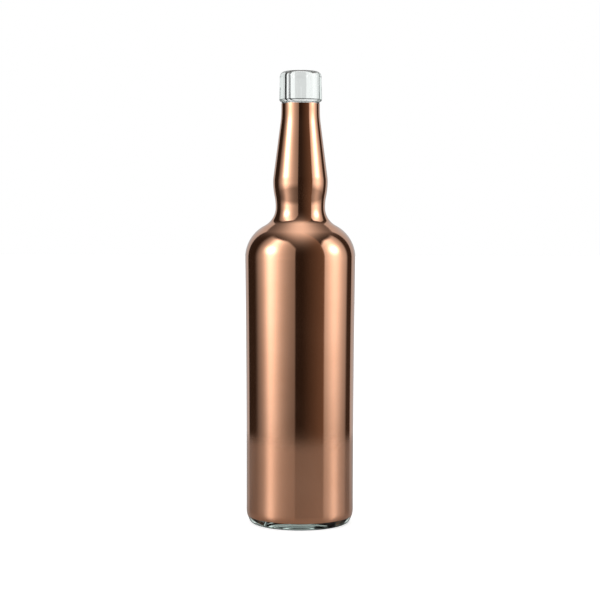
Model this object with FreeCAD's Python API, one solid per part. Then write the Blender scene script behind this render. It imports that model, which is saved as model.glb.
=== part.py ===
import FreeCAD, Part
import math
import os

# An open glass spirits bottle with a thin copper-coloured mirror coat on its body and neck.
# The glass stays bare at the heel and at the collar round the mouth.
# Millimetres, +Z up. The bottle stands on Z = 0 and is round about the Z axis, so every
# outline is drawn as radius against height in the XZ plane and then revolved.

# ---- overall sizes ----
OVERALL_HEIGHT = 313.5      # standing surface to the top of the lip
BODY_DIAMETER = 76.2        # glass, at its widest, where the shoulder starts
HEEL_DIAMETER = 74.15       # glass, at the narrow lower end of the body

# ---- heights, from the standing surface up ----
HEEL_ROUND_HEIGHT = 9.6     # where the side starts to draw in towards the base
BODY_LOW_HEIGHT = 29.6      # where the body stops being upright and starts to widen

# ---- depths, from the top of the lip down ----
SHOULDER_DEPTH = 128.65     # widest ring of the body
WAIST_DEPTH = 93.65         # narrow ring between shoulder and bulb
BULB_DEPTH = 75.75          # widest ring of the swelling in the neck
THROAT_DEPTH = 26.3         # lower end of the neck's narrow upright top
COAT_TOP_DEPTH = 22.2       # on that upright top, where the coat stops
UNDER_COLLAR_DEPTH = 21.4   # upper end of it, where the collar starts to swell out
COLLAR_DEPTH = 19.2         # lower, widest ring of the collar

# ---- outside diameters of the neck and collar ----
WAIST_DIAMETER = 33.9
BULB_DIAMETER = 37.55
THROAT_DIAMETER = 26.25
COLLAR_DIAMETER = 29.45     # at the collar's lower edge
LIP_DIAMETER = 28.8         # at the collar's upper edge, under the lip's rounding

# ---- body: how far up, as shares of its height, its side keeps the direction of each end ----
BODY_LOW_REACH = 0.57
BODY_TOP_REACH = 0.025

# ---- bends: the share of each S-bend's two radii that its lower arc takes ----
SHOULDER_SHARE = 0.631
WAIST_SHARE = 0.425
NECK_SHARE = 0.236
UNDER_COLLAR_SHARE = 0.2
COLLAR_SHARE = 0.5
FULL_BEND = 2.0             # two arcs that meet with no straight between them
NECK_BEND = 1.137           # nearer to 1 leaves a longer straight taper between the arcs

# ---- lip and bore ----
BORE_DIAMETER = 17.0
LIP_CREST_SHARE = 0.35      # how far the crest of the lip lies from bore to outside
LIP_OUTER_DROP = 3.8        # height of the lip's rounding on the outside
LIP_INNER_DROP = 5.0        # height of the lip's rounding into the bore

# ---- heel and base ----
HEEL_ROUND = 17.0           # long arc that draws the side in
HEEL_EDGE_ROUND = 2.8       # small arc from there down onto the standing ring
STANDING_RING_WIDTH = 2.0
PUNT_HEIGHT = 7.0           # hollow pushed up under the base
PUNT_SHARE = 0.6            # share of the punt's S-bend that is its dome
BASE_THICKNESS = 6.0        # glass over the middle of the punt
BASE_FLAT_DIAMETER = 8.0    # small flat in the middle of the punt and of the floor
FLOOR_THICKNESS = 6.5       # glass under the lowest ring of the inside
FLOOR_SHARE = 0.6

# ---- glass walls ----
BODY_WALL = 3.5
WAIST_WALL = 4.2
BULB_WALL = 4.2
INNER_HEEL_ROUND = 9.0
INNER_SHOULDER_SHARE = 0.56

# ---- coat ----
COAT_THICKNESS = 0.2
COAT_HEEL_GAP = 5.2         # height of bare glass left below the coat

# ---- rings that the outlines pass through, as (radius, height) ----
HEEL = (HEEL_DIAMETER / 2, HEEL_ROUND_HEIGHT)
BODY_LOW = (HEEL_DIAMETER / 2, BODY_LOW_HEIGHT)
SHOULDER = (BODY_DIAMETER / 2, OVERALL_HEIGHT - SHOULDER_DEPTH)
WAIST = (WAIST_DIAMETER / 2, OVERALL_HEIGHT - WAIST_DEPTH)
BULB = (BULB_DIAMETER / 2, OVERALL_HEIGHT - BULB_DEPTH)
THROAT = (THROAT_DIAMETER / 2, OVERALL_HEIGHT - THROAT_DEPTH)
COAT_TOP = (THROAT_DIAMETER / 2, OVERALL_HEIGHT - COAT_TOP_DEPTH)
UNDER_COLLAR = (THROAT_DIAMETER / 2, OVERALL_HEIGHT - UNDER_COLLAR_DEPTH)
COLLAR = (COLLAR_DIAMETER / 2, OVERALL_HEIGHT - COLLAR_DEPTH)
LIP = (LIP_DIAMETER / 2, OVERALL_HEIGHT - LIP_OUTER_DROP)
BORE_RADIUS = BORE_DIAMETER / 2


def inside(ring, wall):
    """The ring of the inner surface that lies one wall in from an outer ring."""
    return (ring[0] - wall, ring[1])


def upright(across, along):
    """A point of a curve whose ends are upright: across is a radius, along a height."""
    return FreeCAD.Vector(across, 0, along)


def level(across, along):
    """A point of a curve whose ends are level: across is a height, along a radius."""
    return FreeCAD.Vector(along, 0, across)


def straight(start, end):
    return Part.LineSegment(upright(*start), upright(*end)).toShape()


def arc(centre, radius, first_angle, last_angle, place=upright):
    """An arc about centre, with its angles in radians measured from the across direction."""
    def point(angle):
        across = centre[0] + radius * math.cos(angle)
        along = centre[1] + radius * math.sin(angle)
        return place(across, along)
    middle_angle = (first_angle + last_angle) / 2
    return Part.Arc(point(first_angle), point(middle_angle), point(last_angle)).toShape()


def quarter_round(start, corner, end):
    """A quarter of an ellipse from start to end that touches both sides of the corner."""
    curve = Part.BezierCurve()
    curve.setPoles([upright(*start), upright(*corner), upright(*end)])
    curve.setWeight(2, math.sqrt(0.5))
    return curve.toShape()


def flare(low, high, skin=0.0):
    """One long shallow curve from low to high, upright at both ends."""
    rise = high[1] - low[1]
    poles = [
        (low[0] + skin, low[1]),
        (low[0] + skin, low[1] + BODY_LOW_REACH * rise),
        (high[0] + skin, high[1] - BODY_TOP_REACH * rise),
        (high[0] + skin, high[1]),
    ]
    curve = Part.BezierCurve()
    curve.setPoles([upright(*pole) for pole in poles])
    return curve.toShape()


def s_bend(low, high, share, bend=FULL_BEND, skin=0.0, place=upright):
    """Edges from low to high that leave and arrive along the second direction: an arc, a
    straight where there is room for one, and an arc bent the other way. A skin draws the
    same curve that much further out, square to the surface."""
    outward = 1 if high[0] > low[0] else -1
    across = abs(high[0] - low[0])
    along = high[1] - low[1]
    turn = bend * math.atan2(across, along)
    both_radii = (along * math.sin(turn) - across * math.cos(turn)) / (1 - math.cos(turn))
    low_radius = share * both_radii
    high_radius = both_radii - low_radius
    low_centre = (low[0] + outward * low_radius, low[1])
    high_centre = (high[0] - outward * high_radius, high[1])
    if outward > 0:
        lower = arc(low_centre, low_radius - skin, math.pi, math.pi - turn, place)
        upper = arc(high_centre, high_radius + skin, -turn, 0, place)
    else:
        lower = arc(low_centre, low_radius + skin, 0, turn, place)
        upper = arc(high_centre, high_radius - skin, math.pi + turn, math.pi, place)
    if bend == FULL_BEND:
        return [lower, upper]
    between = Part.LineSegment(lower.Vertexes[-1].Point, upper.Vertexes[0].Point).toShape()
    return [lower, between, upper]


def side(skin=0.0):
    """Edges of the side from the heel's rounding up to the ring where the coat stops."""
    return [
        straight((HEEL[0] + skin, HEEL[1]), (BODY_LOW[0] + skin, BODY_LOW[1])),
        flare(BODY_LOW, SHOULDER, skin),
        *s_bend(SHOULDER, WAIST, SHOULDER_SHARE, skin=skin),
        *s_bend(WAIST, BULB, WAIST_SHARE, skin=skin),
        *s_bend(BULB, THROAT, NECK_SHARE, NECK_BEND, skin=skin),
        straight((THROAT[0] + skin, THROAT[1]), (COAT_TOP[0] + skin, COAT_TOP[1])),
    ]


def heel_centre():
    return (HEEL[0] - HEEL_ROUND, HEEL[1])


def base():
    """Edges of the underside, from the axis out to the heel's rounding."""
    edge_turn = math.asin((HEEL_ROUND_HEIGHT - HEEL_EDGE_ROUND) / (HEEL_ROUND - HEEL_EDGE_ROUND))
    ring_outer = heel_centre()[0] + (HEEL_ROUND - HEEL_EDGE_ROUND) * math.cos(edge_turn)
    ring_inner = ring_outer - STANDING_RING_WIDTH
    flat_edge = (BASE_FLAT_DIAMETER / 2, PUNT_HEIGHT)
    return [
        straight((0, PUNT_HEIGHT), flat_edge),
        *s_bend(flat_edge[::-1], (0, ring_inner), PUNT_SHARE, place=level),
        straight((ring_inner, 0), (ring_outer, 0)),
        arc((ring_outer, HEEL_EDGE_ROUND), HEEL_EDGE_ROUND, -math.pi / 2, -edge_turn),
        arc(heel_centre(), HEEL_ROUND, -edge_turn, 0),
    ]


def collar():
    """Edges from the coat's top end up the collar, over the lip and down to the foot of the bore."""
    crest = BORE_RADIUS + LIP_CREST_SHARE * (LIP[0] - BORE_RADIUS)
    bore_top = OVERALL_HEIGHT - LIP_INNER_DROP
    return [
        straight(COAT_TOP, UNDER_COLLAR),
        *s_bend(UNDER_COLLAR, COLLAR, UNDER_COLLAR_SHARE),
        *s_bend(COLLAR, LIP, COLLAR_SHARE),
        quarter_round(LIP, (LIP[0], OVERALL_HEIGHT), (crest, OVERALL_HEIGHT)),
        quarter_round((crest, OVERALL_HEIGHT), (BORE_RADIUS, OVERALL_HEIGHT), (BORE_RADIUS, bore_top)),
        straight((BORE_RADIUS, bore_top), (BORE_RADIUS, THROAT[1])),
    ]


def cavity():
    """Edges of the inside, from the foot of the bore down to the middle of the floor."""
    inner_low = inside(BODY_LOW, BODY_WALL)
    inner_shoulder = inside(SHOULDER, BODY_WALL)
    inner_waist = inside(WAIST, WAIST_WALL)
    inner_bulb = inside(BULB, BULB_WALL)
    wall_foot = (inner_low[0], FLOOR_THICKNESS + INNER_HEEL_ROUND)
    floor_rim = (inner_low[0] - INNER_HEEL_ROUND, FLOOR_THICKNESS)
    floor_flat_edge = (BASE_FLAT_DIAMETER / 2, PUNT_HEIGHT + BASE_THICKNESS)
    floor_middle = (0, floor_flat_edge[1])
    return [
        *s_bend(inner_bulb, (BORE_RADIUS, THROAT[1]), NECK_SHARE, NECK_BEND),
        *s_bend(inner_waist, inner_bulb, WAIST_SHARE),
        *s_bend(inner_shoulder, inner_waist, INNER_SHOULDER_SHARE),
        flare(inner_low, inner_shoulder),
        straight(wall_foot, inner_low),
        quarter_round(wall_foot, (wall_foot[0], floor_rim[1]), floor_rim),
        *s_bend(floor_flat_edge[::-1], floor_rim[::-1], FLOOR_SHARE, place=level),
        straight(floor_flat_edge, floor_middle),
        straight(floor_middle, (0, PUNT_HEIGHT)),
    ]


def turned(edges):
    """The solid of revolution about the Z axis inside a closed outline."""
    outline = Part.Wire(Part.sortEdges(edges)[0])
    solid = Part.Face(outline).revolve(FreeCAD.Vector(0, 0, 0), FreeCAD.Vector(0, 0, 1), 360)
    if not (outline.isClosed() and solid.isValid() and len(solid.Solids) == 1):
        raise ValueError("the outline doesn't close into one valid solid")
    return solid.Solids[0]


def glass_bottle():
    return turned(base() + side() + collar() + cavity())


def copper_coat():
    """The coat lies on the glass, from low on the heel's rounding to just under the collar."""
    foot_turn = math.asin((HEEL_ROUND_HEIGHT - COAT_HEEL_GAP) / HEEL_ROUND)
    glass_foot = arc(heel_centre(), HEEL_ROUND, -foot_turn, 0)
    coat_foot = arc(heel_centre(), HEEL_ROUND + COAT_THICKNESS, -foot_turn, 0)
    foot_end = Part.LineSegment(glass_foot.Vertexes[0].Point, coat_foot.Vertexes[0].Point).toShape()
    top_end = straight(COAT_TOP, (COAT_TOP[0] + COAT_THICKNESS, COAT_TOP[1]))
    return turned([glass_foot, *side(), top_end, *side(COAT_THICKNESS), coat_foot, foot_end])


def export(node, solid):
    solid.exportStep(os.path.join("parts", node + ".step"))
    box = solid.BoundBox
    print(f"{node}: {solid.Volume / 1000:.1f} cm3, {box.XLength:.2f} x {box.YLength:.2f} x {box.ZLength:.2f} mm")


def main():
    os.makedirs("parts", exist_ok=True)
    export("glass_bottle", glass_bottle())
    export("copper_coat", copper_coat())


main()
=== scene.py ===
from math import asin, atan2, cos, exp, hypot, pi, radians, sin

import bpy
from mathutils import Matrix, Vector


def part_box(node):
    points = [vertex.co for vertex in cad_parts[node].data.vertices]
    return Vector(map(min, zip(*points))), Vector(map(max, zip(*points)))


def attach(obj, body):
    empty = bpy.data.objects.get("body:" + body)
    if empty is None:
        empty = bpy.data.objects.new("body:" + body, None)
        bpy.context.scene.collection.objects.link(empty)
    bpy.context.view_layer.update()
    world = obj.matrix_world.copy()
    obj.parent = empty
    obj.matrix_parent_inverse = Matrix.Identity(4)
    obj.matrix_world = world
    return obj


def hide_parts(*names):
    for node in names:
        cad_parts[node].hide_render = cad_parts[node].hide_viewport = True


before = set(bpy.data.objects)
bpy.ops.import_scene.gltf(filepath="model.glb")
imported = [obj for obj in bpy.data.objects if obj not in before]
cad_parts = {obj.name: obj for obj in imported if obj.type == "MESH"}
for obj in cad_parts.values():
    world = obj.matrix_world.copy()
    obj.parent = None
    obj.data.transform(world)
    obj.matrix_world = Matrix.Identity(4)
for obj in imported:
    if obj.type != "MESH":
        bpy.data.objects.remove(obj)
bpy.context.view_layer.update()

MM = 0.001

# ---- sizes in millimetres; the overall ones come from the frame ----
glass_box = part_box("glass_bottle")
coat_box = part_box("copper_coat")
HEIGHT = glass_box[1].z / MM
COAT_THICKNESS = 0.2
COAT_BITE = 0.05                 # the back of the coat lies this far inside the glass
COAT_FOOT = coat_box[0].z / MM
SHOULDER_RADIUS = coat_box[1].x / MM - COAT_THICKNESS

HEEL_TAPER = 1.025               # the body is this much slimmer at the heel than at the shoulder
HEEL = (SHOULDER_RADIUS - HEEL_TAPER, 9.6)
BODY_LOW = (HEEL[0], 29.6)
SHOULDER = (SHOULDER_RADIUS, HEIGHT - 128.65)
WAIST = (16.95, HEIGHT - 93.65)
BULB = (18.775, HEIGHT - 75.75)
THROAT = (13.125, HEIGHT - 26.3)
COAT_TOP = (13.125, coat_box[1].z / MM)
UNDER_COLLAR = (13.125, HEIGHT - 21.4)
COLLAR = (14.725, HEIGHT - 19.2)
LIP = (14.4, HEIGHT - 3.8)
LIP_CREST = (10.565, HEIGHT)
BORE_LIP = (8.5, HEIGHT - 5.0)
BORE_FOOT = (8.5, THROAT[1])
BODY_WALL = 3.5
NECK_WALL = 4.2
HEEL_ROUND = 17.0
HEEL_EDGE_ROUND = 2.8
STANDING_RING_WIDTH = 2.0
PUNT_EDGE = (4.0, 7.0)
FLOOR_EDGE = (4.0, 13.0)
FLOOR_LOW = 6.5
INNER_HEEL_ROUND = 9.0

# ---- how the outline bends; a share is the part of a bend's radius that its lower arc takes ----
WALL_HOLD = (0.57, 0.025)        # how long the body's wall stays upright at its foot and its top
SHOULDER_SHARE = 0.631
INNER_SHOULDER_SHARE = 0.56
BULB_SHARE = 0.425
THROAT_SHARE = 0.236
THROAT_BEND = 1.137
UNDER_COLLAR_SHARE = 0.2
LIP_SHARE = 0.5
BASE_SHARE = 0.6
SAME_POINT = 0.004               # points closer together than this are one
ON_AXIS = 1e-6
SHARP_EDGE = radians(50)

# ---- marks that the mould leaves ----
SEAM_TURN = radians(2.4)         # where the two halves of the neck ring met, turned from the front
SEAM_HALF_WIDTH = 0.3
SEAM_HEIGHT = 0.1
SEAM_FADE = 0.2                  # how softly it ends under the vent dot
SEAM_CLEARING = 0.062            # radians beside a seam that take fine steps in place of plain ones
SEAM_STEP = 0.0125
SEAM_STEPS = 5
VENT_DOT = (HEIGHT - 11.8, 0.45, 0.15)   # height, half width, how far it stands out
PARTING_HEIGHT = HEIGHT - 25.2
PARTING_RISE = 0.05
PARTING_HALF_WIDTH = 0.22
ROUND_STEPS = 224

# ---- shading of the hollow where neck meets shoulder, in millimetres below the waist ----
HOLLOW_DEPTH = 17.0
HOLLOW_MOST_LEAN = radians(46)
HOLLOW_LEAN_SHARE = 0.68
HOLLOW_EASE = (9.0, 11.5)        # the share grows back to the whole lean here


# ---- outlines: lists of (radius, height) ----
def arc(centre, radius, start, end, steps=18):
    """Points on an arc about centre, its angles in radians from the outward direction."""
    turns = [start + (end - start) * step / steps for step in range(steps + 1)]
    return [(centre[0] + radius * cos(turn), centre[1] + radius * sin(turn)) for turn in turns]


def quarter_round(start, corner, end, steps=12):
    """A quarter of an ellipse from start to end that bulges towards the corner."""
    points = []
    for step in range(steps + 1):
        turn = pi / 2 * step / steps
        points.append(tuple(
            corner[i] + (start[i] - corner[i]) * (1 - sin(turn))
            + (end[i] - corner[i]) * (1 - cos(turn))
            for i in (0, 1)))
    return points


def flare(low, high, steps=36):
    """A long wall that stands upright at both ends and leans out a little between."""
    rise = high[1] - low[1]
    foot_hold, top_hold = WALL_HOLD
    poles = (low, (low[0], low[1] + foot_hold * rise), (high[0], high[1] - top_hold * rise), high)
    points = []
    for step in range(steps + 1):
        t = step / steps
        shares = ((1 - t) ** 3, 3 * t * (1 - t) ** 2, 3 * t * t * (1 - t), t ** 3)
        points.append(tuple(sum(share * pole[i] for share, pole in zip(shares, poles)) for i in (0, 1)))
    return points


def s_bend(low, high, share, bend=2.0, steps=20):
    """An arc, a straight where there is room for one, and an arc bent the other way."""
    outward = 1 if high[0] > low[0] else -1
    across, along = abs(high[0] - low[0]), high[1] - low[1]
    turn = bend * atan2(across, along)
    both_radii = (along * sin(turn) - across * cos(turn)) / (1 - cos(turn))
    low_radius, high_radius = share * both_radii, (1 - share) * both_radii
    turns = [turn * step / steps for step in range(steps + 1)]
    lower = [(low[0] + outward * low_radius * (1 - cos(t)), low[1] + low_radius * sin(t))
             for t in turns]
    upper = [(high[0] - outward * high_radius * (1 - cos(t)), high[1] - high_radius * sin(t))
             for t in turns]
    return lower + upper[::-1]


def swapped(points):
    """The same run with radius and height changed over."""
    return [(along, across) for across, along in points]


def joined(*runs):
    """One outline from several, without doubled points."""
    line = []
    for run in runs:
        for point in run:
            if not line or hypot(point[0] - line[-1][0], point[1] - line[-1][1]) > SAME_POINT:
                line.append(point)
    return line


def grown(line, skin):
    """The outline moved out, square to itself, by skin."""
    moved = []
    for i, (radius, height) in enumerate(line):
        before, after = line[max(i - 1, 0)], line[min(i + 1, len(line) - 1)]
        along = (after[0] - before[0], after[1] - before[1])
        length = hypot(*along)
        moved.append((radius + skin * along[1] / length, height - skin * along[0] / length))
    return moved


heel_centre = (HEEL[0] - HEEL_ROUND, HEEL[1])
heel_edge_turn = asin((HEEL[1] - HEEL_EDGE_ROUND) / (HEEL_ROUND - HEEL_EDGE_ROUND))
ring_outer = heel_centre[0] + (HEEL_ROUND - HEEL_EDGE_ROUND) * cos(heel_edge_turn)
coat_foot_turn = asin((HEEL[1] - COAT_FOOT) / HEEL_ROUND)

base = joined(
    [(0, PUNT_EDGE[1])],
    swapped(s_bend(PUNT_EDGE[::-1], (0, ring_outer - STANDING_RING_WIDTH), BASE_SHARE)),
    [(ring_outer, 0)],
    arc((ring_outer, HEEL_EDGE_ROUND), HEEL_EDGE_ROUND, -pi / 2, -heel_edge_turn, 12),
    arc(heel_centre, HEEL_ROUND, -heel_edge_turn, 0))
side = joined(
    [HEEL, BODY_LOW], flare(BODY_LOW, SHOULDER),
    s_bend(SHOULDER, WAIST, SHOULDER_SHARE, steps=30), s_bend(WAIST, BULB, BULB_SHARE),
    s_bend(BULB, THROAT, THROAT_SHARE, THROAT_BEND, 26), [COAT_TOP])
collar = joined(
    [COAT_TOP], s_bend(UNDER_COLLAR, COLLAR, UNDER_COLLAR_SHARE, steps=12),
    s_bend(COLLAR, LIP, LIP_SHARE, steps=12),
    quarter_round(LIP, (LIP[0], HEIGHT), LIP_CREST),
    quarter_round(LIP_CREST, (BORE_LIP[0], HEIGHT), BORE_LIP), [BORE_FOOT])
inner_bulb = (BULB[0] - NECK_WALL, BULB[1])
inner_waist = (WAIST[0] - NECK_WALL, WAIST[1])
inner_shoulder = (SHOULDER[0] - BODY_WALL, SHOULDER[1])
inner_low = (BODY_LOW[0] - BODY_WALL, BODY_LOW[1])
floor_rim = (inner_low[0] - INNER_HEEL_ROUND, FLOOR_LOW)
cavity = joined(
    s_bend(inner_bulb, BORE_FOOT, THROAT_SHARE, THROAT_BEND, 26)[::-1],
    s_bend(inner_waist, inner_bulb, BULB_SHARE)[::-1],
    s_bend(inner_shoulder, inner_waist, INNER_SHOULDER_SHARE, steps=26)[::-1],
    flare(inner_low, inner_shoulder)[::-1],
    quarter_round((inner_low[0], FLOOR_LOW + INNER_HEEL_ROUND), (inner_low[0], FLOOR_LOW),
                  floor_rim),
    swapped(s_bend(FLOOR_EDGE[::-1], floor_rim[::-1], BASE_SHARE))[::-1],
    [(0, FLOOR_EDGE[1])])
glass_outline = joined(base, side, collar, cavity)

coated = joined(arc(heel_centre, HEEL_ROUND, -coat_foot_turn, 0), side)
coat_face = grown(coated, COAT_THICKNESS)
coat_back = grown(coated, -COAT_BITE)


# ---- turned pieces ----
def round_turns():
    """Angles round the bottle, closer together at the two mould seams."""
    turns = {2 * pi * step / ROUND_STEPS for step in range(ROUND_STEPS)}
    for seam in (SEAM_TURN, SEAM_TURN + pi):
        turns = {turn for turn in turns if abs(turn - seam) > SEAM_CLEARING}
        turns |= {seam + SEAM_STEP * step for step in range(-SEAM_STEPS, SEAM_STEPS + 1)}
    return sorted(turns)


def mould_mark(radius, height, turn, outside):
    """How far the mould's marks stand out of the plain outline."""
    if not outside:
        return 0.0
    mark = PARTING_RISE * exp(-((height - PARTING_HEIGHT) / PARTING_HALF_WIDTH) ** 2)
    if height > UNDER_COLLAR[1] and radius > LIP_CREST[0]:
        for seam in (SEAM_TURN, SEAM_TURN + pi):
            across = radius * (turn - seam)
            below = 1 / (1 + exp((height - VENT_DOT[0]) / SEAM_FADE))
            mark += SEAM_HEIGHT * below * exp(-(across / SEAM_HALF_WIDTH) ** 2)
            up = (height - VENT_DOT[0]) / VENT_DOT[1]
            mark += VENT_DOT[2] * exp(-(across / VENT_DOT[1]) ** 2 - up ** 2)
    return mark


def softened(lean, height):
    """The lean that the surface is shaded with: less of it in the hollow where neck meets shoulder."""
    bend = WAIST[1] - height
    if 0 < bend < HOLLOW_DEPTH:
        lean = min(lean, HOLLOW_MOST_LEAN)
        eased = (bend - HOLLOW_EASE[0]) / (HOLLOW_EASE[1] - HOLLOW_EASE[0])
        lean *= HOLLOW_LEAN_SHARE + (1 - HOLLOW_LEAN_SHARE) * min(max(eased, 0.0), 1.0)
    return lean


def shade(mesh, outline, turns):
    """Sets the direction that each corner is shaded with, from the lean of the outline."""
    directions = []
    for i, (_, height) in enumerate(outline):
        before, after = outline[i - 1], outline[(i + 1) % len(outline)]
        lean = atan2(before[0] - after[0], after[1] - before[1])
        if abs(lean) < pi / 2:
            lean = softened(lean, height)
        directions += [(cos(lean) * sin(turn), -cos(lean) * cos(turn), sin(lean)) for turn in turns]
    mesh.normals_split_custom_set_from_vertices(directions)


def turned(name, outline, closed):
    """A piece turned about the bottle's axis; its outline runs up the outside."""
    turns = round_turns()
    corners, rings = [], []
    highest = max(range(len(outline)), key=lambda i: outline[i][1])
    for i, (radius, height) in enumerate(outline):
        if radius < ON_AXIS:
            rings.append([len(corners)])
            corners.append((0, 0, height * MM))
            continue
        rings.append(range(len(corners), len(corners) + len(turns)))
        for turn in turns:
            out = (radius + mould_mark(radius, height, turn, i < highest)) * MM
            corners.append((out * sin(turn), -out * cos(turn), height * MM))
    faces = []
    pairs = list(zip(rings, rings[1:])) + ([(rings[-1], rings[0])] if closed else [])
    for lower, upper in pairs:
        for k in range(len(turns)):
            after = (k + 1) % len(turns)
            if len(lower) == 1:
                faces.append((lower[0], upper[after], upper[k]))
            elif len(upper) == 1:
                faces.append((lower[k], lower[after], upper[0]))
            else:
                faces.append((lower[k], lower[after], upper[after], upper[k]))
    mesh = bpy.data.meshes.new(name)
    mesh.from_pydata(corners, [], faces)
    mesh.shade_smooth()
    mesh.set_sharp_from_angle(angle=SHARP_EDGE)
    if closed:
        shade(mesh, outline, turns)
    piece = bpy.data.objects.new(name, mesh)
    bpy.context.scene.collection.objects.link(piece)
    return piece


# ---- materials written as sums ----
class Value:
    """A socket whose number can be added, multiplied and compared; each step adds a Math node."""

    def __init__(self, recipe, socket):
        self.recipe, self.socket = recipe, socket

    def maths(self, operation, *others):
        return self.recipe.maths(operation, self, *others)

    def __add__(self, other): return self.maths("ADD", other)
    def __radd__(self, other): return self.recipe.maths("ADD", other, self)
    def __sub__(self, other): return self.maths("SUBTRACT", other)
    def __rsub__(self, other): return self.recipe.maths("SUBTRACT", other, self)
    def __mul__(self, other): return self.maths("MULTIPLY", other)
    def __rmul__(self, other): return self.recipe.maths("MULTIPLY", other, self)
    def __truediv__(self, other): return self.maths("DIVIDE", other)
    def __rtruediv__(self, other): return self.recipe.maths("DIVIDE", other, self)
    def __pow__(self, other): return self.maths("POWER", other)
    def __neg__(self): return self.maths("MULTIPLY", -1.0)
    def __abs__(self): return self.maths("ABSOLUTE")


class Recipe:
    """The node tree of a material or the world."""

    def __init__(self, owner):
        owner.use_nodes = True
        self.tree = owner.node_tree
        self.tree.nodes.clear()

    def node(self, kind, settings=None, sockets=None, take=0):
        made = self.tree.nodes.new(kind)
        for name, value in (settings or {}).items():
            setattr(made, name, value)
        for name, value in (sockets or {}).items():
            if isinstance(value, Value):
                self.tree.links.new(value.socket, made.inputs[name])
            else:
                made.inputs[name].default_value = value
        return Value(self, made.outputs[take]) if made.outputs else made

    def outputs(self, value, *names):
        """Several outputs of the node that value comes from."""
        return [Value(self, value.socket.node.outputs[name]) for name in names]

    def maths(self, operation, *values):
        return self.node("ShaderNodeMath", {"operation": operation}, dict(enumerate(values)))

    def vector(self, operation, sockets, take=0):
        return self.node("ShaderNodeVectorMath", {"operation": operation}, sockets, take)

    def grey(self, level):
        return self.node("ShaderNodeCombineXYZ", None, {0: level, 1: level, 2: level})

    def noise(self, place, scale, detail, roughness):
        return self.node("ShaderNodeTexNoise", None, {
            "Vector": place, "Scale": scale, "Detail": detail, "Roughness": roughness})

    def bump(self, height, strength, distance, **over):
        """A normal bent by height, on top of another Normal where one is given."""
        return self.node("ShaderNodeBump", None, {
            "Strength": strength, "Distance": distance, "Height": height, **over}, "Normal")

    def mix(self, share, first, second):
        return self.node("ShaderNodeMixShader", None, {0: share, 1: first, 2: second})

    def blend(self, share, first, second):
        """A colour between two, which may be links or (r, g, b, 1)."""
        return self.node("ShaderNodeMix", {"data_type": "RGBA"}, {0: share, 6: first, 7: second}, 2)

    def ramp(self, value, low, high, bottom=0.0, top=1.0, kind="SMOOTHSTEP"):
        """Goes from bottom to top as value goes from low to high."""
        return self.node("ShaderNodeMapRange", {"interpolation_type": kind},
                         {0: value, 1: low, 2: high, 3: bottom, 4: top})

    def between(self, value, low, high, blur):
        """1 from low to high and 0 outside, with soft edges."""
        rise = self.ramp(value, low - blur, low + blur)
        return rise * self.ramp(value, high - blur, high + blur, 1.0, 0.0)

    def hump(self, value, middle, width):
        """1 at the middle, falling off slowly on both sides."""
        off = (value - middle) / width
        return 1.0 / (1.0 + off * off)

    def bell(self, value, middle, width):
        """1 at the middle, falling off soon on both sides."""
        off = (value - middle) / width
        return self.maths("EXPONENT", -(off * off))


def material(name):
    return bpy.data.materials.new(name)


def clear_glass():
    """Slightly green bottle glass, with the faint unevenness that a mould leaves."""
    made = material("clear_glass")
    r = Recipe(made)
    place = r.node("ShaderNodeTexCoord", take="Object")
    ripple = r.noise(place, scale=90.0, detail=2.0, roughness=0.4)
    dust = r.noise(place, scale=260.0, detail=3.0, roughness=0.6)
    glass = r.node("ShaderNodeBsdfPrincipled", None, {
        "Base Color": (0.998, 1.0, 0.998, 1), "Roughness": r.ramp(dust, 0.45, 0.8, 0.0, 0.02),
        "IOR": 1.52, "Transmission Weight": 1.0,
        "Normal": r.bump(ripple, strength=0.04, distance=0.0004)})
    tint = r.node("ShaderNodeVolumeAbsorption", None, {
        "Color": (0.65, 0.83, 0.77, 1), "Density": 15.0})
    r.node("ShaderNodeOutputMaterial", None, {"Surface": glass, "Volume": tint})
    return made


def copper_mirror():
    """Copper metal under a thin lacquer: a near mirror with a fine grain."""
    made = material("copper_mirror")
    r = Recipe(made)
    place = r.node("ShaderNodeTexCoord", take="Object")
    wave = r.noise(place, scale=60.0, detail=2.0, roughness=0.5)
    grain = r.noise(place, scale=1600.0, detail=2.0, roughness=0.6)
    mist = r.noise(place, scale=25.0, detail=3.0, roughness=0.55)
    soft = r.bump(wave, strength=0.03, distance=0.0003)
    tone = r.blend(r.ramp(mist, 0.3, 0.7), (0.90, 0.46, 0.275, 1), (0.95, 0.50, 0.31, 1))
    copper = r.node("ShaderNodeBsdfPrincipled", None, {
        "Base Color": tone, "Metallic": 1.0, "Roughness": r.ramp(mist, 0.3, 0.7, 0.07, 0.095),
        "Coat Weight": 1.0, "Coat Roughness": 0.02, "Coat IOR": 1.45,
        "Normal": r.bump(grain, strength=0.03, distance=0.00003, Normal=soft)})
    r.node("ShaderNodeOutputMaterial", None, {"Surface": copper})
    return made


glass = turned("glass", glass_outline, False)
coat = turned("copper", coat_face + coat_back[::-1], True)
glass.data.materials.append(clear_glass())
coat.data.materials.append(copper_mirror())
for piece, node, slot in (
        (glass, "glass_bottle", "clear_glass"), (coat, "copper_coat", "copper_mirror")):
    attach(piece, "root")
    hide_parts(node)


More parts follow.
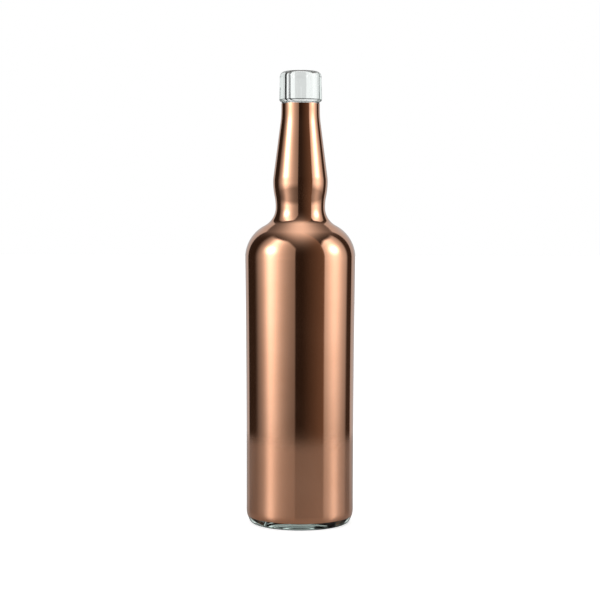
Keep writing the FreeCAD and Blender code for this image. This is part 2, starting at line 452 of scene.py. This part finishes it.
# ---- studio ----
# Angles are in degrees: round_angle is 0 in front and 90 to the right, and height is 90 straight up.
DEGREES = 180 / pi
BOX_FOOT = (-33.0, -27.0)        # where the tall softboxes begin
BOX_DIM = (-10.0, -2.0, 0.35)    # they are dimmer towards the foot, down to this share
BOX_TOP_BLUR = 4.0
BOX_TOP_DROP = 0.02              # how fast their tops round off towards one side
LAMP_HEIGHT, LAMP_SPREAD, LAMP_STRENGTH = 21.0, 9.0, 3.6     # the hot spot in each of them
BACKDROP_RIGHT, BACKDROP_LEFT = (134.0, 138.0), (-138.0, -142.0)
BACKDROP_HEIGHTS = (-40.0, 54.0)
BACKDROP_STRENGTH = 0.43
OVERHEAD_STRENGTH = 1.05
ROOM_COLOUR = (1.0, 0.70, 0.50)
ROOM_STRENGTH = 0.021
GLOW_STRENGTH = 0.125            # the room beside the right softbox, brighter towards it
GLOW_START, GLOW_FULL, GLOW_END = 3.0, 52.0, 52.5
CORNER_STRENGTH = 0.006          # the room's back corners on both sides
RIGHT_CORNER_STRENGTH = 0.012    # and more of it on the right
BEHIND_DIMMED, RAIL_DIMMED = 0.28, 0.88      # by this much, as seen through the glass
WHITE, BLACK = (1, 1, 1, 1), (0, 0, 0, 1)


def softbox(r, round_angle, height, rise, fall, middle, width, strength, lamp, lamp_width, top, past):
    """A tall softbox with its lamp shining through; its top rounds off where past is above 0."""
    box = r.ramp(round_angle, *rise) * r.ramp(round_angle, *fall, 1.0, 0.0)
    box = box * r.hump(round_angle, middle, width) * strength
    hot = r.bell(height, LAMP_HEIGHT, LAMP_SPREAD) * LAMP_STRENGTH
    box = box + hot * r.bell(round_angle, lamp, lamp_width)
    edge = top - BOX_TOP_DROP * r.maths("MAXIMUM", past, 0.0) ** 2
    return box * r.ramp(height - edge, -BOX_TOP_BLUR, BOX_TOP_BLUR, 1.0, 0.0)


def reflected_studio(r, x, y, z, round_angle, height):
    """Two tall softboxes, one overhead, a dim warm room between them and a pale backdrop behind."""
    left = softbox(
        r, round_angle, height, rise=(-112.0, -95.0), fall=(-12.0, -9.0), middle=-66.0,
        width=r.ramp(round_angle, -67.0, -65.0, 13.0, 21.0), strength=2.0,
        lamp=-68.0, lamp_width=11.5, top=52.0, past=round_angle + 43.0)
    right = softbox(
        r, round_angle, height, rise=(50.5, 53.5), fall=(110.0, 119.0), middle=77.0,
        width=22.0, strength=1.52, lamp=79.0, lamp_width=10.5, top=48.0, past=76.0 - round_angle)
    fade = r.ramp(height, BOX_DIM[0], BOX_DIM[1], BOX_DIM[2], 1.0, "LINEAR")
    tall_boxes = (left + right) * fade * r.ramp(height, *BOX_FOOT)

    sideways = r.maths("ARCSINE", x) * DEGREES
    over_back = r.maths("ARCTAN2", y, z) * DEGREES              # 0 straight up, 90 behind
    overhead = r.bell(sideways, 0.0, 21.0) * r.bell(over_back, 15.0, 40.0) * OVERHEAD_STRENGTH
    backdrop = r.ramp(round_angle, *BACKDROP_RIGHT) + r.ramp(round_angle, *BACKDROP_LEFT)
    backdrop = backdrop * r.between(height, *BACKDROP_HEIGHTS, 3.0) * BACKDROP_STRENGTH

    glow = r.between(round_angle, GLOW_START, GLOW_END, 1.0) * GLOW_STRENGTH
    room = ROOM_STRENGTH + glow * r.ramp(round_angle, GLOW_START, GLOW_FULL, kind="LINEAR") ** 1.2
    room = room + r.between(abs(round_angle), 104.0, 142.0, 2.0) * CORNER_STRENGTH
    room = room + r.between(round_angle, 114.0, 140.0, 2.0) * RIGHT_CORNER_STRENGTH
    warm = r.vector("SCALE", {0: ROOM_COLOUR, 3: room})
    return r.vector("ADD", {0: warm, 1: r.grey(tall_boxes + overhead + backdrop)})


def studio_through_glass(r, round_angle, height):
    """A white backdrop, dimmer straight behind, with a dark rail across and a black flag."""
    flag = r.between(round_angle, -156.0, -126.0, 2.0) * r.between(height, -50.0, 50.0, 5.0)
    straight_behind = r.ramp(abs(round_angle), 170.0, 172.0) * r.between(height, -25.0, 25.0, 5.0)
    rail = r.between(height, 9.0, 20.0, 0.8)
    behind = (1.0 - BEHIND_DIMMED * straight_behind) * (1.0 - RAIL_DIMMED * rail)
    return r.blend(flag, r.grey(behind), BLACK)


def studio_world():
    """The camera sees plain white; reflections and what glass lets through have a view each."""
    world = bpy.data.worlds.new("studio")
    bpy.context.scene.world = world
    r = Recipe(world)
    direction = r.node("ShaderNodeTexCoord", take="Generated")
    x, y, z = r.outputs(r.node("ShaderNodeSeparateXYZ", None, {0: direction}), 0, 1, 2)
    round_angle = r.maths("ARCTAN2", x, -y) * DEGREES
    height = r.maths("ARCSINE", z) * DEGREES
    reflected = reflected_studio(r, x, y, z, round_angle, height)
    through = studio_through_glass(r, round_angle, height)
    seen_through, seen = r.outputs(
        r.node("ShaderNodeLightPath"), "Is Transmission Ray", "Is Camera Ray")
    colour = r.blend(seen, r.blend(seen_through, reflected, through), WHITE)
    background = r.node("ShaderNodeBackground", None, {"Color": colour, "Strength": 1.0})
    r.node("ShaderNodeOutputWorld", None, {"Surface": background})


# ---- table: distances in metres ----
FLOOR_REACH = 8.0
TABLE_EDGE = (0.38, 0.48)        # reflections show a round table that fades out here
PAINTED_SHADOW_SPAN = (0.03, 0.30)        # through glass it goes from dark to pale between these: a painted shadow round the bottle


def floor():
    """A white table that keeps the bottle's shadow.

    Reflections show it as a round grey top, and glass shows it glowing, with a painted shadow that
    makes it darker towards the bottle.
    """
    mesh = bpy.data.meshes.new("floor")
    corners = [(-1, -1), (1, -1), (1, 1), (-1, 1)]
    mesh.from_pydata([(FLOOR_REACH * x, FLOOR_REACH * y, 0) for x, y in corners], [], [(0, 1, 2, 3)])
    table = bpy.data.objects.new("floor", mesh)
    bpy.context.scene.collection.objects.link(table)
    made = material("white_table")
    r = Recipe(made)
    place = r.node("ShaderNodeTexCoord", take="Object")
    out = r.vector("LENGTH", {0: place}, "Value")

    board = r.node("ShaderNodeBsdfPrincipled", None, {
        "Base Color": (0.44, 0.425, 0.41, 1), "Roughness": 0.12, "Specular IOR Level": 0.1})
    past = r.node("ShaderNodeBsdfTransparent", None, {"Color": WHITE})
    in_reflections = r.mix(r.ramp(out, *TABLE_EDGE, 1.0, 0.0), past, board)
    # painted shadow: seen through glass the table is a glow in place of real light, dark near the
    # bottle and paler further out
    tone = r.blend(r.ramp(out, *PAINTED_SHADOW_SPAN), (0.02, 0.022, 0.018, 1), (0.42, 0.5, 0.45, 1))
    painted_shadow_glow = r.node("ShaderNodeEmission", None, {"Color": tone, "Strength": 1.0})
    lit = r.node("ShaderNodeBsdfDiffuse", None, {"Color": (0.8, 0.8, 0.8, 1)})
    glow = r.node("ShaderNodeEmission", None, {"Color": WHITE, "Strength": 0.75})
    white = r.node("ShaderNodeAddShader", None, {0: lit, 1: glow})

    reflected, seen_through = r.outputs(
        r.node("ShaderNodeLightPath"), "Is Glossy Ray", "Is Transmission Ray")
    finish = r.mix(reflected, r.mix(seen_through, white, painted_shadow_glow), in_reflections)
    r.node("ShaderNodeOutputMaterial", None, {"Surface": finish})
    table.data.materials.append(made)


def camera():
    lens = bpy.data.cameras.new("camera")
    lens.lens = 90.0
    lens.sensor_width = 36.0
    eye = bpy.data.objects.new("camera", lens)
    eye.location = (-0.00024, -1.0436, 0.21005)
    eye.rotation_euler = (radians(87.0), radians(-0.13), 0.0)
    bpy.context.scene.collection.objects.link(eye)
    bpy.context.scene.camera = eye


studio_world()
floor()
camera()
bpy.context.scene.view_settings.view_transform = "Standard"
